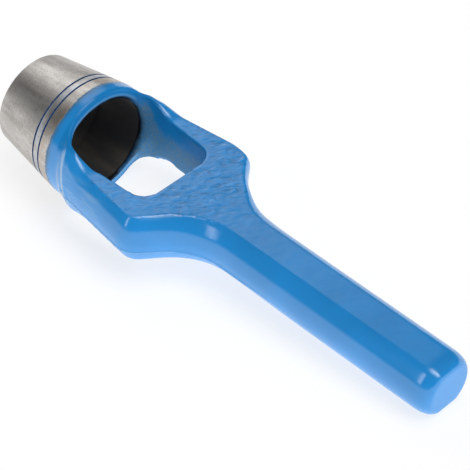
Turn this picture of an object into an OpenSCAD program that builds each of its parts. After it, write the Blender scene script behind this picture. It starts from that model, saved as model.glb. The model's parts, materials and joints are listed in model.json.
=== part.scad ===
// Hollow punch with an open arch, for cutting round holes in leather, felt and gasket sheet.
// The tool is drawn along +X, from the cutting edge at x = 0 to the striking face, with its flat
// faces up and down. It is then leaned about Y at the centre of the cutting edge, which is the
// origin, so that it lies on a bench on its collar and on the heel of its shank.

/* [Cutter] */
// Diameter of the hole that the punch cuts
bore_d = 32; // [24:0.5:36]
// Width of the flat left on the cutting edge by the grinding
edge_land = 0.15; // [0.05:0.05:0.5]
// Angle between the ground cone and the tool axis
cone_angle = 8.9; // [6:0.1:12]
// Length of the bare ground cone, from the edge to the collar
cutter_len = 27.3; // [24:0.1:34]
// Length of the true cylinder behind the cutting edge
land_len = 12; // [6:0.5:18]
// How much wider the bore is behind that cylinder, on the diameter
relief = 0.8; // [0.2:0.1:1.6]
// Distance from the collar to the nearer of the two turned grooves
groove_back = 5; // [3:0.1:10]
// Distance between the two grooves
groove_pitch = 2.9; // [1.5:0.1:4]
// Width of a turned groove
groove_w = 0.6; // [0.3:0.05:1]
// Depth of a turned groove
groove_depth = 0.35; // [0.1:0.05:0.6]
// Wall of the spigot that seats in the collar
spigot_wall = 1.6; // [1:0.1:2]
// Radial play of the spigot in its socket
spigot_play = 0.05; // [0.02:0.01:0.2]
// Room left between the end of the spigot and the ledge behind it
spigot_end_play = 0.2; // [0.1:0.05:0.4]
// Thickness of the collar's ledge behind the spigot
ledge_t = 1; // [0.5:0.1:2]

/* [Arch] */
// Length of the round collar behind the cutter
collar_len = 4.2; // [4:0.1:8]
// How far the cheeks of the arch stand out past the collar
cheek_out = 2.6; // [1.5:0.1:5]
// Distance from the collar to the place where they do
cheek_run = 6.4; // [5:0.1:10]
// How far the shoulder corners stand out past the collar
shoulder_out = 6.8; // [5:0.1:12]
// Distance from the end of the slug window to the shoulder corners
shoulder_run = 4; // [2:0.1:12]
// Radius of the shoulder corners in plan, at their widest
shoulder_r = 8.5; // [7:0.1:12]
// Angle of the sloping shoulders to the tool axis
shoulder_angle = 51; // [40:1:60]
// Radius of the hollow blend from the shoulders into the shank
neck_r = 22; // [10:1:28]
// Radius of the hollow blend from the collar into the cheeks
collar_blend_r = 5; // [2:0.5:8]
// Radius of the bulge where that blend meets the cheeks
cheek_r = 8; // [7:0.5:20]
// How much more than half the thickness the radius of the arch's round sides is
arch_side_more = 2.9; // [1:0.1:6]
// Length over which the round collar flattens into the arch
flatten_len = 16; // [8:0.5:20]

/* [Slug window] */
// Length of the window along the tool axis
window_len = 34.9; // [28:0.1:36]
// How much wider than the bore the window is at its cutter end, on each side
window_play = 0.6; // [0.2:0.1:1.5]
// How much narrower the window gets towards its shank end, on each side
window_taper = 2.4; // [0:0.1:5]
// Radius of the window's corners at the cutter end
window_front_r = 6.5; // [3:0.1:10]
// Radius of the window's corners at the shank end
window_rear_r = 6; // [3:0.1:10]

/* [Shank] */
// Diameter of the shank over its round sides
shank_d = 20.4; // [16:0.1:26]
// How far the two flat faces of the forging are set in from that diameter, on each side
flat_in = 1.1; // [0.4:0.1:3]
// Length of the whole tool
total_len = 176.5; // [150:0.5:200]
// How far the rounding of the striking end reaches along the shank
crown_len = 5; // [3:0.1:8]
// How far the striking face is set in from the sides of the shank
crown_in = 2.9; // [1.5:0.1:5]

/* [Hidden] */
$fn = 96;

// Steps in a rounded corner, up a round side, along the arch and round the crown
arc_steps = 8;
side_steps = 20;
body_steps = 48;
crown_steps = 6;
// Least radius of a corner that is set in
least_r = 0.5;
// The collar stays this little short of a full circle, so that its top keeps two corners
collar_flat = 0.02;
// How early the collar widens into the arch and sinks to its flats: the larger, the earlier
widen_power = 3.5;
sink_power = 2;
// Reach of a cutting tool past the face that it opens
past = 1;

bore_r = bore_d / 2;
edge_r = bore_r + edge_land;
relief_r = bore_r + relief / 2;
collar_r = edge_r + cutter_len * tan(cone_angle);
collar_end = cutter_len + collar_len;
spigot_r = relief_r + spigot_wall;
spigot_len = collar_len - ledge_t - spigot_end_play;
side_r = shank_d / 2;
flat_z = side_r - flat_in;
arch_side_r = flat_z + arch_side_more;
window_end = collar_end + window_len;
window_front_w = relief_r + window_play;
window_rear_w = window_front_w - window_taper;
cheek_w = collar_r + cheek_out;
shoulder_w = collar_r + shoulder_out;
shoulder_x = window_end + shoulder_run;
neck_x = shoulder_x + (shoulder_w - side_r) / tan(shoulder_angle);
neck_end = neck_x + neck_r * tan(shoulder_angle / 2);

// The bench touches the collar's lower edge and the heel of the shank
heel_x = total_len - crown_len;
lean = atan((collar_r - flat_z) / (heel_x - collar_end));

function unit(v) = v / norm(v);

// Points of a circular corner of radius r at b, between its neighbours a and c
function corner(a, b, c, r, steps) =
    let (u = unit(a - b))
    let (v = unit(c - b))
    let (half = acos(u * v) / 2)
    let (centre = b + unit(u + v) * r / sin(half))
    let (first = b + u * r / tan(half) - centre)
    let (last = b + v * r / tan(half) - centre)
    let (start = atan2(first.y, first.x))
    let (sweep = atan2(cross(first, last), first * last))
    [for (i = [0 : steps]) centre + r * [cos(start + sweep * i / steps), sin(start + sweep * i / steps)]];

// Half outline of the forging in plan, from the collar to the crown
outline_corners = [
    [cutter_len, collar_r],
    [collar_end, collar_r],
    [collar_end + cheek_run, cheek_w],
    [shoulder_x, shoulder_w],
    [neck_x, side_r],
    [heel_x, side_r]
];
outline_radii = [0, collar_blend_r, cheek_r, shoulder_r, neck_r, 0];
outline_last = len(outline_corners) - 1;

// Way into the material, square to the line from a to b
function inward(a, b) = unit([b.y - a.y, a.x - b.x]);

// That outline set in by a distance, with its corners moved along and their radii kept parallel
function inset_corner(i, inset) =
    let (here = outline_corners[i])
    let (m = inward(outline_corners[max(i - 1, 0)], outline_corners[max(i, 1)]))
    let (n = inward(outline_corners[min(i, outline_last - 1)], outline_corners[min(i + 1, outline_last)]))
    here + inset * (m + n) / (1 + m * n);
function inset_radius(i, inset) =
    let (a = outline_corners[i] - outline_corners[i - 1])
    let (b = outline_corners[i + 1] - outline_corners[i])
    max(least_r, outline_radii[i] + inset * sign(cross(a, b)));
function inset_outline(inset) =
    let (v = [for (i = [0 : outline_last]) inset_corner(i, inset)])
    concat(
        [v[0]],
        [for (i = [1 : outline_last - 1])
            each corner(v[i - 1], v[i], v[i + 1], inset_radius(i, inset), arc_steps)],
        [v[outline_last]]
    );

// A round side in section, from the lower flat to the upper one: how far each step of it is set in
// from its widest place, and its height
function round_side(r, h) =
    [for (i = [0 : side_steps])
        let (a = asin(h / r) * (2 * i / side_steps - 1))
        [r * (1 - cos(a)), r * sin(a)]];
collar_side = round_side(collar_r, collar_r - collar_flat);
arch_side = round_side(arch_side_r, flat_z);
shank_side = round_side(side_r, flat_z);

// Plan outlines at the steps of the arch's side and of the shank's
outline = inset_outline(0);
arch_outlines = [for (p = arch_side) inset_outline(p.x)];
shank_outlines = [for (p = shank_side) inset_outline(p.x)];

// A smooth change from 0 at one place to 1 at another
function ease(x, from, to) = (1 - cos(180 * min(1, max(0, (x - from) / (to - from))))) / 2;
// A share that changes fast at first and then settles
function ease_out(share, power) = 1 - pow(1 - share, power);
function mix(a, b, share) = a + (b - a) * share;

// A point of the body's right side: the round collar turns into the arch, and that into the shank
function side_point(x, i) =
    let (collar = [lookup(x, outline) - collar_side[i].x, collar_side[i].y])
    let (arch = [lookup(x, arch_outlines[i]), arch_side[i].y])
    let (shank = [lookup(x, shank_outlines[i]), shank_side[i].y])
    let (forged = mix(arch, shank, ease(x, shoulder_x, neck_end)))
    let (along = min(1, max(0, (x - collar_end) / flatten_len)))
    let (widened = ease_out(along, widen_power))
    let (sunk = ease_out(along, sink_power))
    [mix(collar.x, forged.x, widened), mix(collar.y, forged.y, sunk)];

// A closed cross section from the points of its right side
function section(x, side) = concat(
    [for (p = side) [x, p.x, p.y]],
    [for (p = side) [x, -p.x, -p.y]]
);
function body_section(x) = section(x, [for (i = [0 : side_steps]) side_point(x, i)]);
function crown_section(s) =
    let (share = 1 - crown_in / side_r * (1 - cos(90 * s)))
    section(heel_x + crown_len * sin(90 * s), [for (p = shank_side) share * [side_r - p.x, p.y]]);

body_places = [
    cutter_len,
    for (i = [0 : body_steps]) mix(collar_end, neck_end, i / body_steps),
    heel_x
];
sections = concat(
    [for (x = body_places) body_section(x)],
    [for (i = [1 : crown_steps]) crown_section(i / crown_steps)]
);

// Skin through a row of sections that all have the same number of points
module loft(rows) {
    n = len(rows[0]);
    last = len(rows) - 1;
    skin = [for (j = [0 : last - 1]) for (i = [0 : n - 1]) let (k = (i + 1) % n)
        each [[j * n + i, (j + 1) * n + i, (j + 1) * n + k], [j * n + i, (j + 1) * n + k, j * n + k]]];
    ends = [[for (i = [0 : n - 1]) i], [for (i = [n - 1 : -1 : 0]) last * n + i]];
    polyhedron(points = [for (row = rows) each row], faces = concat(skin, ends), convexity = 8);
}

// The tool lies on the bench, leaned about the centre of its cutting edge
module lying() {
    rotate([0, lean, 0]) children();
}

// A round bar along the tool axis
module bar(x, length, r) {
    translate([x, 0, 0]) rotate([0, 90, 0]) cylinder(h = length, r = r);
}

// Plan of the slug window, with its corners rounded
module window_plan() {
    ends = [
        [collar_end, -window_front_w],
        [window_end, -window_rear_w],
        [window_end, window_rear_w],
        [collar_end, window_front_w]
    ];
    radii = [window_front_r, window_rear_r, window_rear_r, window_front_r];
    polygon([for (i = [0 : 3])
        each corner(ends[(i + 3) % 4], ends[i], ends[(i + 1) % 4], radii[i], arc_steps)]);
}

// The drop-forged collar, arch and shank, painted
module forged_body() {
    color("steelblue") lying() difference() {
        loft(sections);
        translate([0, 0, -collar_r - past]) linear_extrude(2 * (collar_r + past)) window_plan();
        bar(cutter_len - past, collar_len + window_front_r + past, relief_r);
        bar(cutter_len - past, spigot_len + spigot_end_play + past, spigot_r + spigot_play);
    }
}

// Half section of the turned cutter: x is the radius and y the distance from the cutting edge
module cutter_profile() {
    difference() {
        polygon([
            [bore_r, 0],
            [edge_r, 0],
            [collar_r, cutter_len],
            [spigot_r, cutter_len],
            [spigot_r, cutter_len + spigot_len],
            [relief_r, cutter_len + spigot_len],
            [relief_r, land_len + relief],
            [bore_r, land_len]
        ]);
        for (y = [cutter_len - groove_back - groove_pitch, cutter_len - groove_back])
            translate([edge_r + y * tan(cone_angle) - groove_depth, y])
                square([groove_depth + past, groove_w]);
    }
}

// The turned and ground cutter with its spigot
module cutting_tube() {
    color("silver") lying() rotate([0, 90, 0]) rotate_extrude() cutter_profile();
}

forged_body();
cutting_tube();
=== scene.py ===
# %% [markdown]
# A hollow punch cuts round holes in leather, felt and gasket sheet. This one is a drop forging with a
# ground cutter at one end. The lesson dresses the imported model: it makes a finer skin for the forging,
# turns the cutter, mixes their finishes, and then sets up a small photo studio round them.
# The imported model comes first, because every piece has to sit where its solid is.

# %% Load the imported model
import json
import math

import bpy
from mathutils import Matrix, Vector


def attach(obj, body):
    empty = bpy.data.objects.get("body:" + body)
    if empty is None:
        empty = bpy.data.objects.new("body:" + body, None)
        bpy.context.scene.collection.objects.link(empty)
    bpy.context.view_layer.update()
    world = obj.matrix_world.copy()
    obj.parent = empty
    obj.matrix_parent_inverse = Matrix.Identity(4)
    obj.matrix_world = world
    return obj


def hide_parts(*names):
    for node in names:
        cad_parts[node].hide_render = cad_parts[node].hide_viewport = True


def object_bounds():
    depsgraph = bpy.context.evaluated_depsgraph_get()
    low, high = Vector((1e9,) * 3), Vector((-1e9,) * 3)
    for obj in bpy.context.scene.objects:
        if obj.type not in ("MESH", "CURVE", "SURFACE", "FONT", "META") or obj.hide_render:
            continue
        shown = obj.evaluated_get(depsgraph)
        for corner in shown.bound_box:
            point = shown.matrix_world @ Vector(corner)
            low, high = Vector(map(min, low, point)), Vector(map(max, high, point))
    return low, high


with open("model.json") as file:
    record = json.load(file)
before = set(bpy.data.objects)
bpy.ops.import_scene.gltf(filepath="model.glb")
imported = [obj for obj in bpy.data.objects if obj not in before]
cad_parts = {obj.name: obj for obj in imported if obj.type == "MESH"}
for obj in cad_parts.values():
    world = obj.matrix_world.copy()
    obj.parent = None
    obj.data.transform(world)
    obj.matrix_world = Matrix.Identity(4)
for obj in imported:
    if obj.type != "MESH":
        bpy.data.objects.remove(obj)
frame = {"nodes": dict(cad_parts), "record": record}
cad_box = [list(corner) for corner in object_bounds()]
print("solids:", sorted(frame["nodes"]), "box in metres:", cad_box)

# %% [markdown]
# The punch lies on a bench, so its axis leans a little. Shapes and patterns are easier to think of in
# the tool's own frame, with x along the tool from the cutting edge and z square to the flat faces. The
# cutting bore's mount holds the direction of the axis, and so it gives the lean between the two frames.

# %% The tool's own frame
MM = 0.001
mounts = {mount["name"]: mount for mount in frame["record"]["mounts"]}
cut_way = Vector(mounts["cutting_bore"]["axis"])
lean = math.atan2(cut_way.z, -cut_way.x)
lying = Matrix.Rotation(lean, 3, "Y")
bore_r = mounts["cutting_bore"]["dims"]["r_mm"]
land_len = mounts["cutting_bore"]["dims"]["length_mm"]


def tool_points(node):
    """The node's vertices in the tool's own frame, in millimetres."""
    upright = lying.inverted()
    return [upright @ vertex.co / MM for vertex in frame["nodes"][node].data.vertices]


body_points = tool_points("forged_body")
cutter_points = tool_points("cutting_tube")
cutter_len = min(p.x for p in body_points)
spigot_end = max(p.x for p in cutter_points)
total_len = max(p.x for p in body_points)
collar_r = max(p.yz.length for p in cutter_points)
print(f"lean {math.degrees(lean):.2f} degrees, cutter {cutter_len:.1f} mm, tool {total_len:.1f} mm")

# %% [markdown]
# The camera stands where the photographer's stood: to the right of the tool and above it, about two
# thirds of a metre off, with a long lens. Its place was worked out from the rings and edges of the tool,
# so it is written in the tool's frame and then leaned with it. It aims a little past its own turn about
# the tool, and the level line of that turn keeps the picture upright.

# %% Camera
EYE = Vector((411.72, -327.49, 449.64))
AIM = Vector((87.14, 3.60, -3.55))
TURN = math.radians(45.471)
FOCAL_PIXELS = 2115.98
FRAME_PIXELS = 470
SENSOR_WIDTH = 36

eye = lying @ EYE * MM
ahead = (lying @ (AIM - EYE)).normalized()
level = lying @ Vector((math.cos(TURN), math.sin(TURN), 0))
right = (level - ahead * level.dot(ahead)).normalized()
above = right.cross(ahead)
lens = bpy.data.cameras.new("camera")
lens.sensor_width = SENSOR_WIDTH
lens.lens = FOCAL_PIXELS / FRAME_PIXELS * SENSOR_WIDTH
camera = bpy.data.objects.new("camera", lens)
camera.matrix_world = Matrix.Translation(eye) @ Matrix((right, above, -ahead)).transposed().to_4x4()
bpy.context.scene.collection.objects.link(camera)
bpy.context.scene.camera = camera
print(f"lens {lens.lens:.1f} mm, {(eye - lying @ AIM * MM).length:.3f} m from its aim")

# %% [markdown]
# A few helpers do what a hand does with the mouse. An operator acts on all that is selected, so a piece
# is always picked alone first. A modifier is added, set and applied in one go. A vertex group tells a
# modifier how strongly to act at each place. Its weight fades in and out over spans, which are pairs of
# places along the tool or of other measures, and a smooth step keeps their ends from showing.

# %% Helpers for modelling
def pick(piece):
    """Selects this piece alone and makes it the active one."""
    bpy.ops.object.select_all(action="DESELECT")
    piece.select_set(True)
    bpy.context.view_layer.objects.active = piece


def apply_modifier(piece, kind, **settings):
    """Adds one modifier, sets it and applies it."""
    pick(piece)
    modifier = piece.modifiers.new(kind.lower(), kind)
    for key, value in settings.items():
        setattr(modifier, key, value)
    bpy.ops.object.modifier_apply(modifier=modifier.name)


def step(low, high, value):
    """Rises smoothly from 0 at low to 1 at high."""
    share = min(1.0, max(0.0, (value - low) / (high - low)))
    return share * share * (3 - 2 * share)


def fall(low, high, value):
    """Falls smoothly from 1 at low to 0 at high."""
    return 1 - step(low, high, value)


def weigh(piece, name, weight):
    """A vertex group whose weight is a rule of the place in millimetres and the normal."""
    group = piece.vertex_groups.new(name=name)
    for vertex in piece.data.vertices:
        group.add([vertex.index], weight(vertex.co / MM, vertex.normal), "REPLACE")


def lay_down(piece):
    """Leans a piece that was made in the tool's frame, and settles that turn into its mesh."""
    pick(piece)
    piece.rotation_euler = (0, lean, 0)
    bpy.ops.object.transform_apply(location=False, rotation=True, scale=False)


print("helpers ready")

# %% [markdown]
# The forging is the tool's body: collar, arch, shoulders and shank in one. Its solid has the right shape
# but flat facets and knife edges. A copy is welded, turned upright, and remeshed into small even faces,
# because smoothing works evenly only on an even mesh.

# %% Forging: an even skin
WELD = 0.002
SKIN = 0.43

forging = bpy.data.objects.new("forging", frame["nodes"]["forged_body"].data.copy())
bpy.context.scene.collection.objects.link(forging)
forging.data.materials.clear()
pick(forging)
forging.rotation_euler = (0, -lean, 0)
bpy.ops.object.transform_apply(location=False, rotation=True, scale=False)
bpy.ops.object.mode_set(mode="EDIT")
bpy.ops.mesh.select_all(action="SELECT")
bpy.ops.mesh.remove_doubles(threshold=WELD * MM)
bpy.ops.object.mode_set(mode="OBJECT")
apply_modifier(forging, "REMESH", mode="VOXEL", voxel_size=SKIN * MM)
print("forging:", len(forging.data.vertices), "points")

# %% [markdown]
# Most of what follows acts on one region of the forging, so two rules tell where a place is. The slug window
# is seen in plan: it starts behind the collar and narrows a little towards the shank. The outside of the
# collar and the arch is where a place is far enough from the axis and faces away from it.

# %% Forging: where a place is
COLLAR_LEN = 4.2
WINDOW_LEN = 34.9
WINDOW_FRONT = cutter_len + COLLAR_LEN
WINDOW_END = WINDOW_FRONT + WINDOW_LEN
WINDOW_FRONT_HALF = 17.0
WINDOW_TAPER = 2.4 / WINDOW_LEN
OUTSIDE_RADIUS = (18.0, 18.6)
OUTSIDE_FACING = (0.4, 0.6)


def past_window(place):
    """How far a place lies outside the slug window in plan, in millimetres."""
    half_width = WINDOW_FRONT_HALF - WINDOW_TAPER * (place.x - WINDOW_FRONT)
    return max(abs(place.y) - half_width, place.x - WINDOW_END, WINDOW_FRONT - place.x)


def outside(place, normal):
    """1 on the outside of the collar and the arch, and 0 in the bore and the window."""
    facing = place.yz.normalized().dot(normal.yz)
    return step(*OUTSIDE_RADIUS, place.yz.length) * step(*OUTSIDE_FACING, facing)


print(f"window from {WINDOW_FRONT:.1f} to {WINDOW_END:.1f} mm behind the cutting edge")

# %% [markdown]
# The collar was turned, so its ring is cast onto a true cylinder. The Cast modifier takes its axis from the z
# of another object, so an empty, the axle, is laid along the tool for it.

# %% Forging: a true collar
RING_BACK = (WINDOW_FRONT - 0.6, WINDOW_FRONT + 2.5)


def ring_weight(place, normal):
    return outside(place, normal) * fall(*RING_BACK, place.x)


axle = bpy.data.objects.new("axle", None)
bpy.context.scene.collection.objects.link(axle)
axle.rotation_euler = (0, math.pi / 2, 0)
bpy.context.view_layer.update()
weigh(forging, "ring", ring_weight)
apply_modifier(forging, "CAST", cast_type="CYLINDER", object=axle, use_transform=True, factor=1.0,
               use_z=False, use_radius_as_size=False, radius=0, size=collar_r * MM, vertex_group="ring")
print("collar ring cast to a radius of", round(collar_r, 2), "mm")

# %% [markdown]
# A forging has no sharp edge: the dies wear and the paint fills. Smoothing rounds every edge, but not the
# front rim, which has to meet the cutter, and it acts less along the shank, whose edges are crisper. The
# cheeks behind the collar, the mouth of the window and the crown at the striking end are smoothed for
# longer, because the solid's facets are wider there.

# %% Forging: round edges
CHEEK_FRONT = (cutter_len + 1.5, cutter_len + 4.0)
CHEEK_BACK = (46.0, 60.0)
CHEEK_OFF_WINDOW = (0.8, 3.0)
MOUTH_FRONT = (WINDOW_FRONT - 1.2, WINDOW_FRONT + 0.4)
MOUTH_BACK = (42.0, 50.0)
MOUTH_OFF_WINDOW = (1.0, 3.5)
CROWN_FRONT = (total_len - 15.5, total_len - 9.5)
CROWN_BACK = (total_len - 3.0, total_len - 1.0)
RIM_FRONT = (cutter_len + 0.6, cutter_len + 1.8)
SHANK_FRONT = (85.0, 100.0)
SHANK_BACK = (total_len - 4.5, total_len - 1.5)
SHANK_SHARE = 0.55
SMOOTHING = 0.5


def cheek_weight(place, normal):
    along = step(*CHEEK_FRONT, place.x) * fall(*CHEEK_BACK, place.x)
    return along * outside(place, normal) * step(*CHEEK_OFF_WINDOW, past_window(place))


def mouth_weight(place, normal):
    along = step(*MOUTH_FRONT, place.x) * fall(*MOUTH_BACK, place.x)
    return along * fall(*MOUTH_OFF_WINDOW, past_window(place))


def crown_weight(place, normal):
    return step(*CROWN_FRONT, place.x) * fall(*CROWN_BACK, place.x)


def rounding_weight(place, normal):
    less = SHANK_SHARE * step(*SHANK_FRONT, place.x) + (1 - SHANK_SHARE) * step(*SHANK_BACK, place.x)
    return step(*RIM_FRONT, place.x) * (1 - less)


for name, weight, rounds in (("cheeks", cheek_weight, 12), ("mouth", mouth_weight, 50),
                             ("crown", crown_weight, 30), ("rounding", rounding_weight, 6)):
    weigh(forging, name, weight)
    apply_modifier(forging, "SMOOTH", factor=SMOOTHING, iterations=rounds, vertex_group=name)
    print("smoothed:", name, rounds, "times")

# %% [markdown]
# The two shoulders aren't quite alike. On the far one the flat runs out nearly to the edge of the outline,
# and the wall below it is steep. The flat and the upper part of that wall are pulled outwards, away from the
# window, and less and less lower down, so that the outline itself stays where it is.

# %% Forging: the squarer far shoulder
FAR_WAY = math.radians(45)
FAR_REACH = 3.7
FAR_START = (31.0, 38.0)
FAR_END = (50.0, 68.0)
FAR_FLAT = (57.0, 63.5)
FAR_POWER = 1.3
FLAT_TOP = 9.1


def far_weight(place, normal):
    out = place.x * math.cos(FAR_WAY) + place.y * math.sin(FAR_WAY)
    along = place.x * math.sin(FAR_WAY) - place.y * math.cos(FAR_WAY)
    up = min(1.0, max(0.0, place.z / FLAT_TOP))
    return step(*FAR_START, along) * fall(*FAR_END, along) * step(*FAR_FLAT, out) * up ** FAR_POWER


weigh(forging, "far_shoulder", far_weight)
for direction, share in (("X", math.cos(FAR_WAY)), ("Y", math.sin(FAR_WAY))):
    apply_modifier(forging, "DISPLACE", direction=direction, strength=FAR_REACH * share * MM, mid_level=0,
                   vertex_group="far_shoulder")
print("far shoulder pulled out by up to", FAR_REACH, "mm")

# %% [markdown]
# Hot scale was pressed into the flat faces under the hammer. It left a rippled skin there, strongest round
# and behind the slug window and fading out along the shank. The ripples are real hills and hollows, so
# they are pushed out of the mesh by a cloud texture that is stretched along one direction.

# %% Forging: rippled skin on the flat faces
FLAT_Z = 8.3
FLAT_RISE = (FLAT_Z - 1.0, FLAT_Z)
FLAT_FACING = (0.80, 0.97)
RIPPLE_FRONT = (40.0, 54.0)
RIPPLE_OFF_WINDOW = (0.3, 2.0)
RIPPLE_NECK, RIPPLE_NECK_LOSS = (80.0, 110.0), 0.70
RIPPLE_SHANK, RIPPLE_SHANK_LOSS = (110.0, 150.0), 0.20
RIPPLE_TURN = math.radians(45)
RIPPLE_STRETCH = 1.9
RIPPLE_KINDS = (("long_ripples", 2.0, 0.16, 1.4), ("short_ripples", 1.0, 0.05, 1.2))


def ripple_weight(place, normal):
    flat = step(*FLAT_FACING, abs(normal.z)) * step(*FLAT_RISE, abs(place.z))
    front = step(*RIPPLE_FRONT, place.x) * step(*RIPPLE_OFF_WINDOW, past_window(place))
    loss = RIPPLE_NECK_LOSS * step(*RIPPLE_NECK, place.x) + RIPPLE_SHANK_LOSS * step(*RIPPLE_SHANK, place.x)
    return flat * front * (1 - loss)


grain = bpy.data.objects.new("grain", None)
bpy.context.scene.collection.objects.link(grain)
grain.rotation_euler = (0, 0, RIPPLE_TURN)
grain.scale = (RIPPLE_STRETCH, 1, 1)
bpy.context.view_layer.update()
weigh(forging, "ripple", ripple_weight)
for name, size, height, contrast in RIPPLE_KINDS:
    cloud = bpy.data.textures.new(name, "CLOUDS")
    cloud.noise_scale = size * MM
    cloud.noise_depth = 1
    cloud.contrast = contrast
    apply_modifier(forging, "DISPLACE", texture=cloud, texture_coords="OBJECT", texture_coords_object=grain,
                   strength=height * MM, mid_level=0.5, vertex_group="ripple")
    print(f"{name}: {size} mm wide and about {height} mm high")

# %% [markdown]
# Behind the collar the sides start with a low step, which runs down and back round the arch. Smoothing took
# its edge away, so the strip in front of it is pressed in a little and the strip behind it is raised, which
# makes it steep enough to catch the light again.

# %% Forging: the step behind the collar
STEP_FRONT = 31.7
STEP_FROM = math.radians(36)
STEP_RUN = 6.06
STEP_HALF = 1.3
STEP_MORE = 0.22
STEP_TOP = (math.radians(38), math.radians(60))
STEP_FOOT = (math.radians(95), math.radians(112))


def beside_step(way):
    """The rule for the strip in front of the step, where way is -1, or behind it, where way is 1."""
    def weight(place, normal):
        down = math.atan2(abs(place.y), place.z)
        behind = place.x - STEP_FRONT - STEP_RUN * (down - STEP_FROM)
        near = max(0.0, 1 - abs(behind - way * STEP_HALF) / STEP_HALF)
        return step(*STEP_TOP, down) * fall(*STEP_FOOT, down) * outside(place, normal) * near
    return weight


for name, way in (("before_step", -1), ("behind_step", 1)):
    weigh(forging, name, beside_step(way))
    apply_modifier(forging, "DISPLACE", strength=way * STEP_MORE * MM, mid_level=0, vertex_group=name)
print("step behind the collar steepened by", STEP_MORE, "mm either way")

# %% [markdown]
# The two halves of the die met a little below the middle of the sides. They left a fine raised line round
# the arch, which the paint didn't hide, and the lower half stands in a little. So the sides below the line
# are moved inwards, and then a narrow band along it is moved outwards.

# %% Forging: parting line
PARTING_Z = -2.6
PARTING_HALF = 0.7
PARTING_OUT = 0.40
LOWER_IN = 0.30
LOWER_TOP = (PARTING_Z - 0.6, PARTING_Z)
LOWER_FOOT = (-8.0, -5.0)
SIDE_FACING = (0.5, 0.8)
SIDE_OFF_WINDOW = (1.0, 2.5)
SIDE_FRONT = (32.0, 38.0)
SIDE_BACK = (95.0, 125.0)


def on_side(place, normal):
    """1 on the upright sides of the arch and the neck, fading out to the collar and along the shank."""
    upright = step(*SIDE_FACING, math.hypot(normal.x, normal.y))
    off_window = step(*SIDE_OFF_WINDOW, past_window(place))
    return upright * off_window * step(*SIDE_FRONT, place.x) * fall(*SIDE_BACK, place.x)


def lower_weight(place, normal):
    return on_side(place, normal) * fall(*LOWER_TOP, place.z) * step(*LOWER_FOOT, place.z)


def parting_weight(place, normal):
    return on_side(place, normal) * max(0.0, 1 - abs(place.z - PARTING_Z) / PARTING_HALF)


for name, weight, shift in (("lower", lower_weight, -LOWER_IN), ("parting", parting_weight, PARTING_OUT)):
    weigh(forging, name, weight)
    apply_modifier(forging, "DISPLACE", strength=shift * MM, mid_level=0, vertex_group=name)
print("parting line", PARTING_OUT, "mm proud at a height of", PARTING_Z, "mm")

# %% [markdown]
# The forging is done, so it is leaned as it lies on the bench. The helpers and the vertex groups have served
# their turn and go.

# %% Forging: lay it down
forging.vertex_groups.clear()
lay_down(forging)
pick(forging)
bpy.ops.object.shade_smooth()
for helper in (axle, grain):
    bpy.data.objects.remove(helper)
print("forging:", sum(len(p.vertices) - 2 for p in forging.data.polygons), "triangles")

# %% [markdown]
# The cutter is a ring of turned and ground steel. A lathe makes it from a half section, and so does the
# Spin operator. The half section is drawn as with a pen: one vertex is extruded from point to point, from
# the cutting edge along the cone and its two grooves, round the spigot and back along the bore.

# %% Cutter: half section
EDGE_LAND = 0.15
EDGE_ROUND = 0.03
EDGE_FRONT = 0.12
EDGE_BACK = 0.05
RELIEF = 0.4
GROOVE_PITCH = 2.9
GROOVE_END = cutter_len - 5.0
GROOVES = (GROOVE_END - GROOVE_PITCH, GROOVE_END)
GROOVE_W = 0.6
GROOVE_DEPTH = 0.35
GROOVE_LIP = 0.08
SPIGOT_WALL = 1.6
TUCK = 0.35

edge_r = bore_r + EDGE_LAND
slope = (collar_r - edge_r) / cutter_len
relief_r = bore_r + RELIEF


def cone(x):
    """The radius of the cone this far behind the cutting edge."""
    return edge_r + slope * x


half_section = [(0, bore_r + EDGE_ROUND), (EDGE_ROUND, edge_r - EDGE_ROUND), (EDGE_FRONT, cone(EDGE_FRONT))]
for x in GROOVES:
    half_section += [
        (x - GROOVE_LIP, cone(x - GROOVE_LIP)),
        (x, cone(x) - GROOVE_LIP / 2),
        (x + GROOVE_LIP, cone(x) - GROOVE_DEPTH),
        (x + GROOVE_W - GROOVE_LIP, cone(x) - GROOVE_DEPTH),
        (x + GROOVE_W, cone(x + GROOVE_W) - GROOVE_LIP / 2),
        (x + GROOVE_W + GROOVE_LIP, cone(x + GROOVE_W + GROOVE_LIP)),
    ]
half_section += [
    (cutter_len + TUCK, collar_r),
    (cutter_len + TUCK, relief_r + SPIGOT_WALL),
    (spigot_end, relief_r + SPIGOT_WALL),
    (spigot_end, relief_r),
    (land_len + 2 * RELIEF, relief_r),
    (land_len, bore_r),
    (EDGE_BACK, bore_r),
    (0, bore_r + EDGE_ROUND),
]

bpy.ops.object.select_all(action="DESELECT")
bpy.ops.mesh.primitive_plane_add(size=MM)
cutter = bpy.context.object
cutter.name = cutter.data.name = "cutter"
bpy.ops.object.mode_set(mode="EDIT")
bpy.ops.mesh.select_all(action="SELECT")
bpy.ops.mesh.merge(type="CENTER")
here = Vector((0, 0, 0))
for count, (x, r) in enumerate(half_section):
    there = Vector((x, 0, r)) * MM
    if count == 0:
        bpy.ops.transform.translate(value=there - here)
    else:
        bpy.ops.mesh.extrude_region_move(TRANSFORM_OT_translate={"value": there - here})
    here = there
print("half section of", len(half_section), "points")

# %% Cutter: spin it
SPIN_STEPS = 288
CORNER = math.radians(25)

bpy.ops.mesh.select_all(action="SELECT")
bpy.ops.mesh.spin(steps=SPIN_STEPS, angle=2 * math.pi, center=(0, 0, 0), axis=(1, 0, 0))
bpy.ops.mesh.select_all(action="SELECT")
bpy.ops.mesh.remove_doubles(threshold=WELD * MM)
bpy.ops.mesh.normals_make_consistent(inside=False)
bpy.ops.object.mode_set(mode="OBJECT")
lay_down(cutter)
pick(cutter)
bpy.ops.object.shade_smooth_by_angle(angle=CORNER)
print("cutter:", sum(len(p.vertices) - 2 for p in cutter.data.polygons), "triangles")

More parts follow.
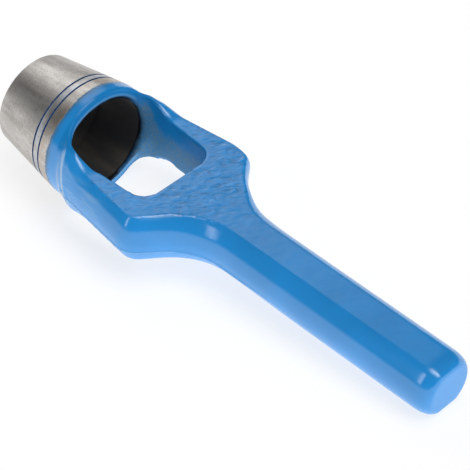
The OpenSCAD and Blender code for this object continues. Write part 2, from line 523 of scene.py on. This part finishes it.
# %% [markdown]
# Finishes are built from nodes. Two short helper classes keep them readable. The first grows any node tree:
# it adds a node, fills its inputs with values or with other nodes' outputs, and hands back its first output.
# The second is a material. Its patterns read the object's own coordinates, turned upright and counted in
# millimetres, so they keep their place on the tool.

# %% Helpers for finishes
class Nodes:
    """A node tree whose nodes are added one by one."""

    def __init__(self, tree):
        self.tree = tree

    def add(self, kind, inputs=None, **settings):
        node = self.tree.nodes.new("ShaderNode" + kind)
        for key, value in settings.items():
            setattr(node, key, value)
        for key, value in (inputs or {}).items():
            self.join(value, node.inputs[key])
        return node.outputs[0]

    def join(self, value, socket):
        """Links an output to the socket, or sets the socket to a plain value."""
        if isinstance(value, bpy.types.NodeSocket):
            self.tree.links.new(value, socket)
        else:
            socket.default_value = value

    def math(self, operation, *values):
        """One math node, or a chain of them where there are more than two values."""
        result = values[0]
        for value in values[1:] or (0.0,):
            result = self.add("Math", {0: result, 1: value}, operation=operation)
        return result

    def plus(self, *values):
        return self.math("ADD", *values)

    def minus(self, a, b):
        return self.math("SUBTRACT", a, b)

    def times(self, *values):
        return self.math("MULTIPLY", *values)

    def most(self, *values):
        """The largest of the values."""
        return self.math("MAXIMUM", *values)

    def size(self, value):
        """The value without its sign."""
        return self.math("ABSOLUTE", value)

    def step(self, value, low, high):
        """Rises smoothly from 0 at low to 1 at high, and falls where low is the larger."""
        rising = low < high
        span = {"Value": value, "From Min": min(low, high), "From Max": max(low, high),
                "To Min": 0.0 if rising else 1.0, "To Max": 1.0 if rising else 0.0}
        return self.add("MapRange", span, interpolation_type="SMOOTHSTEP")

    def band(self, value, start, full, fading, end):
        """Rises from 0 at start to 1 at full, and falls from 1 at fading to 0 at end."""
        return self.times(self.step(value, start, full), self.step(value, end, fading))

    def blend(self, share, a, b):
        """A number that goes from a to b as share goes from 0 to 1."""
        return self.add("MapRange", {"Value": share, "To Min": a, "To Max": b})

    def mix(self, share, a, b):
        """A colour that goes from a to b as share goes from 0 to 1."""
        node = self.add("Mix", {0: share}, data_type="RGBA").node
        self.join(a, node.inputs["A"])
        self.join(b, node.inputs["B"])
        return node.outputs["Result"]


class Finish(Nodes):
    """A new material that knows the place on the tool: x, y, z and the radius r about the axis."""

    def __init__(self, name, colour):
        self.material = bpy.data.materials.new(name)
        self.material.use_nodes = True
        self.material.diffuse_color = (*colour, 1)
        super().__init__(self.material.node_tree)
        self.shader = self.tree.nodes["Principled BSDF"]
        place = self.add("TexCoord").node.outputs["Object"]
        upright = {"Vector": place, "Rotation": (0, -lean, 0), "Scale": (1 / MM,) * 3}
        self.place = self.add("Mapping", upright)
        self.x, self.y, self.z = self.add("SeparateXYZ", {"Vector": self.place}).node.outputs
        self.r = self.math("SQRT", self.plus(self.times(self.y, self.y), self.times(self.z, self.z)))

    def squeezed(self, *scale):
        """The place with each axis scaled, which stretches a pattern along the axes scaled down."""
        return self.add("Mapping", {"Vector": self.place, "Scale": scale})

    def noise(self, size, detail=2.0, vector=None, swirl=0.0):
        """Soft random values about 0.5, with blobs of about this size in millimetres."""
        inputs = {"Vector": vector or self.place, "Scale": 1 / size, "Detail": detail, "Distortion": swirl}
        return self.add("TexNoise", inputs)

    def patches(self, size, low, high, detail=2.0, vector=None):
        """Noise made into patches: 0 where it is below low, and 1 where it is above high."""
        return self.step(self.noise(size, detail, vector), low, high)

    def sway(self, amount, size, vector=None):
        """A shift of at most this much either way, which changes over this size."""
        return self.times(self.minus(self.noise(size, vector=vector), 0.5), 2 * amount)

    def bump(self, height, distance, normal=None):
        inputs = {"Height": height, "Distance": distance * MM, "Strength": 1.0}
        if normal:
            inputs["Normal"] = normal
        return self.add("Bump", inputs)

    def set(self, **sockets):
        """Fills sockets of the shader, with _ in place of the spaces in their names."""
        for name, value in sockets.items():
            self.join(value, self.shader.inputs[name.replace("_", " ")])


def solid(colour, share=1.0):
    """A colour as a socket takes it, made darker or paler by a share."""
    return (*[part * share for part in colour], 1.0)


print("finish helpers ready")

# %% [markdown]
# The body was dipped or sprayed in glossy blue enamel. It lies thick and shiny outside. Inside the window
# only a thin coat reached the walls, so they turn greyer towards the bottom, and the bore is left black.
# Those places follow from the tool's own sizes, so they are masks made of x, y, z and the radius. The window
# and the mouth of the bore also share a mask for painted shade, a darker blue where shade falls, and for a
# duller gloss.

# %% Enamel: where the paint is thin
ENAMEL = (0.011, 0.218, 0.56)
WINDOW_SIDES = (-0.45, 0.05)
WINDOW_ALONG = (WINDOW_FRONT - 0.6, WINDOW_FRONT + 0.4, WINDOW_END, WINDOW_END + 0.4)
SLOPE_BACK = (50.0, 45.0)
RIM_HEIGHT = (FLAT_Z + 0.7, FLAT_Z + 0.3)
MOUTH_SIDES = (-1.8, -0.6)
MOUTH_ALONG = (WINDOW_FRONT - 1.3, WINDOW_FRONT - 0.5, 37.0, 42.0)
THIN_TOP = (4.5, -1.5)
THIN_RISE = 8.0
THIN_RISE_FRONT = (41.0, 35.0)
DRIP_SQUEEZE = 0.3
SPECKLE_LEAST = 0.35
BORE_WALL = (18.0, 17.2)
BORE_BACK = (WINDOW_FRONT + 2.3, WINDOW_FRONT - 0.7)

f = Finish("blue_enamel", ENAMEL)
height = f.size(f.z)
half_width = f.minus(WINDOW_FRONT_HALF, f.times(f.minus(f.x, WINDOW_FRONT), WINDOW_TAPER))
inside = f.minus(half_width, f.size(f.y))
below_rim = f.most(f.step(f.x, *SLOPE_BACK), f.step(height, *RIM_HEIGHT))
in_window = f.times(f.step(inside, *WINDOW_SIDES), f.band(f.x, *WINDOW_ALONG), below_rim)
mouth = f.times(f.step(inside, *MOUTH_SIDES), f.band(f.x, *MOUTH_ALONG))
# painted shade: the window and the mouth of the bore are darkened in colour where shade falls, and the same
# mask dulls the gloss there
painted_shade_and_dull = f.most(in_window, mouth)
drips = f.squeezed(1, 1, DRIP_SQUEEZE)
rise = f.times(f.step(f.x, *THIN_RISE_FRONT), THIN_RISE)
thin_edge = f.minus(f.plus(f.z, f.sway(3.0, 6.0), f.sway(2.5, 0.9, drips)), rise)
speckle = f.blend(f.patches(0.6, 0.38, 0.62), SPECKLE_LEAST, 1.0)
thin = f.times(in_window, f.step(thin_edge, *THIN_TOP), speckle)
bore_edge = f.plus(f.r, f.sway(0.08, 1.5))
black_edge = f.plus(f.x, f.sway(1.4, 5.0))
bored = f.times(f.step(bore_edge, *BORE_WALL), f.step(black_edge, *BORE_BACK))
print("masks of the window and the bore:", len(f.tree.nodes), "nodes")

# %% [markdown]
# The ring's rear rim, the parting line and the step behind the collar get paler lines, which are painted
# highlights where those edges catch the light. The cheeks have faint paler streaks along the tool, and the
# paint's
#  front end on the collar is thin and greyed.

# %% Enamel: painted edge highlights, streaks and the worn front
RING_RIM = (17.2, 17.8, 18.2, 19.0)
RING_RIM_ALONG = (WINDOW_FRONT - 1.3, WINDOW_FRONT - 0.5, WINDOW_FRONT + 0.7, WINDOW_FRONT + 1.5)
OFF_WINDOW = (-1.0, -2.5)
PARTING_LINE = (0.45, 0.15)
PARTING_ALONG = (33.0, 37.0, 90.0, 115.0)
STEP_LINE = (1.4, 0.4)
STEP_DOWN = (0.70, 1.05, 1.70, 1.95)
STREAK_ALONG = (31.0, 35.0, 50.0, 64.0)
STREAK_HEIGHT = (FLAT_Z + 0.4, FLAT_Z - 1.0)
STREAK_SQUEEZE = 0.11
STREAK_SHARE = 0.38
WORN_FRONT = (cutter_len + 1.8, cutter_len + 0.1)
WORN_SHARE = 0.8
EDGE_SHARE = 0.4
STEP_SHARE = 0.7

off_window = f.step(inside, *OFF_WINDOW)
rim = f.times(f.band(f.r, *RING_RIM), f.band(f.x, *RING_RIM_ALONG))
off_parting = f.size(f.minus(f.z, PARTING_Z))
parted = f.times(f.step(off_parting, *PARTING_LINE), off_window, f.band(f.x, *PARTING_ALONG))
down = f.math("ARCTAN2", f.size(f.y), f.z)
off_step = f.size(f.minus(f.x, f.plus(f.times(f.minus(down, STEP_FROM), STEP_RUN), STEP_FRONT)))
stepped = f.times(f.step(off_step, *STEP_LINE), f.band(down, *STEP_DOWN), off_window)
# painted highlight: pale lines along the ring's rear rim, the parting line and the step behind the collar,
# where those edges catch the light
painted_edge_highlights = f.most(f.times(f.most(rim, parted), EDGE_SHARE), f.times(stepped, STEP_SHARE))
on_cheek = f.times(f.band(f.x, *STREAK_ALONG), off_window, f.step(height, *STREAK_HEIGHT))
along_tool = f.squeezed(STREAK_SQUEEZE, 1, 1)
streaks = f.times(f.patches(1.5, 0.46, 0.70, 3.0, along_tool), on_cheek, STREAK_SHARE)
worn = f.times(f.step(f.plus(f.x, f.sway(1.0, 3.0)), *WORN_FRONT), WORN_SHARE)
print("masks of edges, streaks and wear:", len(f.tree.nodes), "nodes")

# %% [markdown]
# The colours are laid over each other as the paint was, with painted shade in the window and painted
# highlights on the edges among them, and each mask lets the next one through.

# %% Enamel: colours
THIN_COAT = (0.090, 0.185, 0.270)
PALE_STREAK_AND_HIGHLIGHT = (0.16, 0.36, 0.58)
WORN_COAT = (0.030, 0.135, 0.27)
BORE_BLACK = (0.0065, 0.0065, 0.0075)
PAINTED_SHADE_SHARE = 0.5

colour = f.mix(f.patches(14.0, 0.25, 0.75, 1.0), solid(ENAMEL, 0.95), solid(ENAMEL, 1.06))
# painted shade: a darker copy of the enamel in the window and the mouth of the bore
colour = f.mix(f.times(painted_shade_and_dull, PAINTED_SHADE_SHARE), colour, solid(ENAMEL, 0.6))
# the pale blue serves the cheek streaks and the painted edge highlights
for mask, coat in ((thin, THIN_COAT), (streaks, PALE_STREAK_AND_HIGHLIGHT), (worn, WORN_COAT), (painted_edge_highlights, PALE_STREAK_AND_HIGHLIGHT),
                   (bored, BORE_BLACK)):
    colour = f.mix(mask, colour, solid(coat))
print("enamel colours:", len(f.tree.nodes), "nodes")

# %% [markdown]
# The flats are wrinkled more finely than the mesh can show. A noise that is stretched like the ripples and
#  swirled stands for the wrinkles: bump nodes raise it, and its colour gets painted shade in the hollows and
#  painted light on the hills. The gloss is a clear coat, which fills the wrinkles a little, so it gets a
#  calmer normal of its own. The thin paint in the window is stippled and has hardly any gloss, and the bore
#  has none.
#  A faint orange peel lies over all of the enamel.

# %% Enamel: wrinkles, their painted shade and light, and gloss
WRINKLE_SIZE = 1.4
WRINKLE_HEIGHT = 0.45
WRINKLE_GLOSS = 0.24
WRINKLE_STRETCH = 1.9
WRINKLE_SWIRL = 0.5
WRINKLE_SHADE = 0.55
WRINKLE_LIGHT = 0.30
WRINKLE_RISE = (FLAT_Z + 0.1, FLAT_Z + 0.6)
WRINKLE_NECK = (78.0, 105.0)
WRINKLE_SHANK_SHARE = 0.15
WRINKLE_PATCH_SHARE = 0.60
HOLLOW = (0.45, 0.32)
HILL = (0.50, 0.64)
PEEL_HEIGHT = 0.012
STIPPLE_HEIGHT = 0.12
SHELTERED_DULL = 0.85
ENAMEL_ROUGH = 0.4
BARE_ROUGH = 0.7
COAT_ROUGH = 0.15
COAT_IOR = 1.75

turned = f.add("Mapping", {"Vector": f.place, "Rotation": (0, 0, -RIPPLE_TURN)})
grain_way = f.add("Mapping", {"Vector": turned, "Scale": (1 / WRINKLE_STRETCH, 1, 1)})
wrinkled = f.times(f.step(height, *WRINKLE_RISE), f.step(f.x, *RIPPLE_FRONT),
                   f.blend(f.step(f.x, *WRINKLE_NECK), 1.0, WRINKLE_SHANK_SHARE),
                   f.blend(f.patches(7.0, 0.40, 0.60, 1.0), WRINKLE_PATCH_SHARE, 1.0))
wrinkles = f.noise(WRINKLE_SIZE, 2.0, grain_way, WRINKLE_SWIRL)
# painted shade in the hollows of the wrinkles and painted light on their hills
painted_hollow_shade = f.times(f.step(wrinkles, *HOLLOW), wrinkled, WRINKLE_SHADE)
painted_hill_light = f.times(f.step(wrinkles, *HILL), wrinkled, WRINKLE_LIGHT)
colour = f.mix(painted_hollow_shade, colour, solid(ENAMEL, 0.5))
colour = f.mix(painted_hill_light, colour, solid(ENAMEL, 1.5))
peel = f.bump(f.noise(1.6, 1.0), PEEL_HEIGHT)
ups_and_downs = f.times(f.minus(wrinkles, 0.5), wrinkled)
stipple = f.times(f.noise(0.8, 2.0), in_window)
skin = f.bump(stipple, STIPPLE_HEIGHT, f.bump(ups_and_downs, WRINKLE_HEIGHT, peel))
gloss_skin = f.bump(stipple, STIPPLE_HEIGHT, f.bump(ups_and_downs, WRINKLE_GLOSS, peel))
gloss = f.minus(1.0, f.most(bored, f.times(painted_shade_and_dull, SHELTERED_DULL)))
rough = f.blend(f.most(bored, thin), ENAMEL_ROUGH, BARE_ROUGH)
f.set(Base_Color=colour, Roughness=rough, Normal=skin, Specular_IOR_Level=0.0)
f.set(Coat_Weight=gloss, Coat_Roughness=COAT_ROUGH, Coat_IOR=COAT_IOR, Coat_Normal=gloss_skin)
forging.data.materials.append(f.material)
print("enamel:", len(f.tree.nodes), "nodes")

# %% [markdown]
# The cutter is bare steel, ground round and round, so light stretches along the cone. The grinding leaves
# fine rings, soft streaks and a warm tint near the paint. Blue lacquer fills the two grooves and left a film
# between them. The enamel runs a little way onto the cone, thin and greyed, and ends in a wavy line. The bore
# is blackened.

# %% Ground steel: the bare metal
STEEL_DARK = (0.34, 0.315, 0.295)
STEEL_BRIGHT = (0.65, 0.63, 0.605)
STEEL_WARM = (0.50, 0.40, 0.32)
BLUE_FILM = (0.36, 0.48, 0.66)
CONE_SQUEEZE = 0.16
RING_SQUEEZE = (9.0, 0.25, 0.25)
SHADES = (0.35, 0.64)
WARM_SHARE = 0.6
FILM_SHARE = 0.35

f = Finish("ground_steel", STEEL_BRIGHT)
along_cone = f.squeezed(CONE_SQUEEZE, 1, 1)
rings = f.noise(1.2, 2.0, f.squeezed(*RING_SQUEEZE))
patterns = ((f.noise(8.0, 2.0, along_cone), 0.35), (f.noise(2.0, 3.0, along_cone), 0.20),
            (f.noise(2.5, 3.0), 0.10), (f.noise(0.45, 1.0), 0.25), (rings, 0.10))
shade = f.plus(*[f.times(pattern, share) for pattern, share in patterns])
steel = f.mix(f.step(shade, *SHADES), solid(STEEL_DARK), solid(STEEL_BRIGHT))
behind_grooves = f.step(f.x, GROOVES[1], GROOVES[1] + 1.5)
warm = f.times(behind_grooves, f.patches(4.0, 0.35, 0.65), WARM_SHARE)
steel = f.mix(warm, steel, solid(STEEL_WARM))
between = f.band(f.x, GROOVES[0], GROOVES[0] + 1, GROOVES[1], GROOVES[1] + 1)
film = f.times(between, f.patches(3.0, 0.3, 0.7), FILM_SHARE)
steel = f.mix(film, steel, solid(BLUE_FILM))
print("bare steel:", len(f.tree.nodes), "nodes")

# %% Ground steel: lacquer, paint and soot
LACQUER = (0.012, 0.055, 0.16)
BORE_BROWN = (0.040, 0.034, 0.027)
GROOVE_SMEAR = 0.13
GROOVE_FADE = 0.10
PAINT_LINE = (cutter_len - 0.85, cutter_len - 0.15)
BORE_SKIN = (bore_r + 0.1, bore_r + 0.04)
BORE_WIDENS = 0.05
GROUND_ROUGH = 0.34
RING_ROUGH = 0.12
RING_HEIGHT = 0.004
COATED_ROUGH = 0.25
SOOT_ROUGH = 0.8

smeared = f.plus(f.x, f.sway(0.12, 1.5))
in_grooves = f.most(*[f.band(smeared, x - GROOVE_SMEAR, x - GROOVE_SMEAR + GROOVE_FADE,
                             x + GROOVE_W + GROOVE_SMEAR - GROOVE_FADE, x + GROOVE_W + GROOVE_SMEAR)
                      for x in GROOVES])
painted = f.step(f.plus(f.x, f.sway(1.0, 6.0), f.sway(0.5, 0.9)), *PAINT_LINE)
blackened = f.step(f.minus(f.r, f.times(f.x, BORE_WIDENS)), *BORE_SKIN)
soot = f.mix(f.patches(9.0, 0.42, 0.68, 2.0, along_cone), solid(BORE_BLACK), solid(BORE_BROWN))
colour = f.mix(in_grooves, steel, solid(LACQUER))
colour = f.mix(painted, colour, solid(WORN_COAT))
colour = f.mix(blackened, colour, soot)
coated = f.most(in_grooves, painted)
ground_rough = f.plus(f.times(rings, RING_ROUGH), GROUND_ROUGH)
rough = f.blend(blackened, f.blend(coated, ground_rough, COATED_ROUGH), SOOT_ROUGH)
f.set(Base_Color=colour, Metallic=f.minus(1.0, f.most(coated, blackened)), Roughness=rough)
f.set(Normal=f.bump(rings, RING_HEIGHT))
cutter.data.materials.append(f.material)
print("ground steel:", len(f.tree.nodes), "nodes")

# %% [markdown]
# Each piece is attached to the body it moves with, the solid it stands for is hidden, and a line says which
# solid that is.

# %% Tie the pieces to the model
for piece, node, finish in ((forging, "forged_body", "blue_paint"), (cutter, "cutting_tube", "ground_steel")):
    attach(piece, "root")
    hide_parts(node)
    print(piece.name, "stands for", node)

# %% [markdown]
# The studio is a light table under a pale sky. The floor is a diffuse sheet that takes the shadow and lights
# the tool softly from below. The camera and shiny surfaces see just enough glow in it to bring it up to
# white, and other rays get more, as from a lit table.

# %% Floor
FLOOR_SIZE = 8.0
FLOOR_WHITE = (0.26, 0.26, 0.26)
FLOOR_ROUGH = 0.9
FLOOR_GLOW = 0.76
FLOOR_LIGHT = 1.86
WHITE = (1.0, 1.0, 1.0)

bpy.ops.object.select_all(action="DESELECT")
bpy.ops.mesh.primitive_plane_add(size=FLOOR_SIZE, location=(0, 0, cad_box[0][2]))
floor = bpy.context.object
floor.name = "floor"
f = Finish("pale_floor", FLOOR_WHITE)
path = f.add("LightPath").node
ray_kinds = ("Is Camera Ray", "Is Glossy Ray", "Is Transmission Ray")
seen = f.most(*[path.outputs[kind] for kind in ray_kinds])
f.set(Base_Color=solid(FLOOR_WHITE), Roughness=FLOOR_ROUGH, Specular_IOR_Level=0.0)
f.set(Emission_Color=solid(WHITE), Emission_Strength=f.blend(seen, FLOOR_LIGHT, FLOOR_GLOW))
floor.data.materials.append(f.material)
print("floor at", round(cad_box[0][2], 4), "m")

# %% [markdown]
# The sky gives the gloss something to show. It is white low down and dark in a belt above that, which makes
# the dark band along the shank. A bright patch high up towards the striking end lights the tool from above,
# and the flats reflect a soft glow at the upper left.

# %% Sky
SKY_WHITE = 1.0
SKY_BELT = 0.08
BELT_RISE = (0.05, 0.17)
SKY_PATCH = 4.6
PATCH_X = (-0.25, 0.2)
PATCH_Y = (-0.5, 0.0, 0.2, 0.5)
PATCH_RISE = (0.45, 0.8)
SKY_GLOW = 1.12
GLOW_TURN, GLOW_RISE = 155, 40
GLOW_EDGE = (0.86, 1.0)


def pointing(turn, rise):
    """The direction at this turn from +X and rise above the floor, in degrees."""
    turn, rise = math.radians(turn), math.radians(rise)
    return Vector((math.cos(turn) * math.cos(rise), math.sin(turn) * math.cos(rise), math.sin(rise)))


world = bpy.data.worlds.new("studio")
bpy.context.scene.world = world
world.use_nodes = True
sky = Nodes(world.node_tree)
way = sky.add("TexCoord").node.outputs["Generated"]
x, y, z = sky.add("SeparateXYZ", {"Vector": way}).node.outputs
low_sky = sky.blend(sky.step(z, *BELT_RISE), SKY_WHITE, SKY_BELT)
patch = sky.times(sky.step(x, *PATCH_X), sky.band(y, *PATCH_Y), sky.step(z, *PATCH_RISE), SKY_PATCH)
facing = {0: way, 1: pointing(GLOW_TURN, GLOW_RISE)}
towards = sky.add("VectorMath", facing, operation="DOT_PRODUCT").node.outputs["Value"]
glow = sky.times(sky.step(towards, *GLOW_EDGE), SKY_GLOW)
background = world.node_tree.nodes["Background"]
background.inputs["Color"].default_value = solid(WHITE)
sky.join(sky.plus(low_sky, patch, glow), background.inputs["Strength"])
print("sky:", len(sky.tree.nodes), "nodes")

# %% [markdown]
# Three soft boxes light the tool. A tall narrow one at the near side makes the small bright windows on the
# neck and the striking end. A small one high at the left draws the thin glint along the edge of the flat. A
# low one at the left brightens the cutter and the far bar of the arch. Each is given by its direction from
# the tool in degrees, its distance and its size in metres, and how bright it looks.

# %% Soft boxes
TARGET = Vector((0.08, 0, -0.01))
SOFT_BOXES = (
    ("near_box", -98, 32, 0.9, 0.16, 0.56, 2.5),
    ("edge_box", 161, 63, 1.2, 0.25, 0.25, 0.7),
    ("back_box", 150, 24, 1.0, 0.50, 0.24, 1.1),
)

for name, turn, rise, distance, width, tall, radiance in SOFT_BOXES:
    way = pointing(turn, rise)
    light = bpy.data.lights.new(name, "AREA")
    light.shape = "RECTANGLE"
    light.size, light.size_y = width, tall
    light.energy = radiance * math.pi * width * tall
    box = bpy.data.objects.new(name, light)
    box.location = TARGET + way * distance
    box.rotation_euler = way.to_track_quat("Z", "Y").to_euler()
    box.visible_camera = False
    bpy.context.scene.collection.objects.link(box)
    print(f"{name}: {light.energy:.3f} W")

# %% [markdown]
# The picture is shown plainly, with no film look.

# %% View
bpy.context.scene.view_settings.view_transform = "Standard"
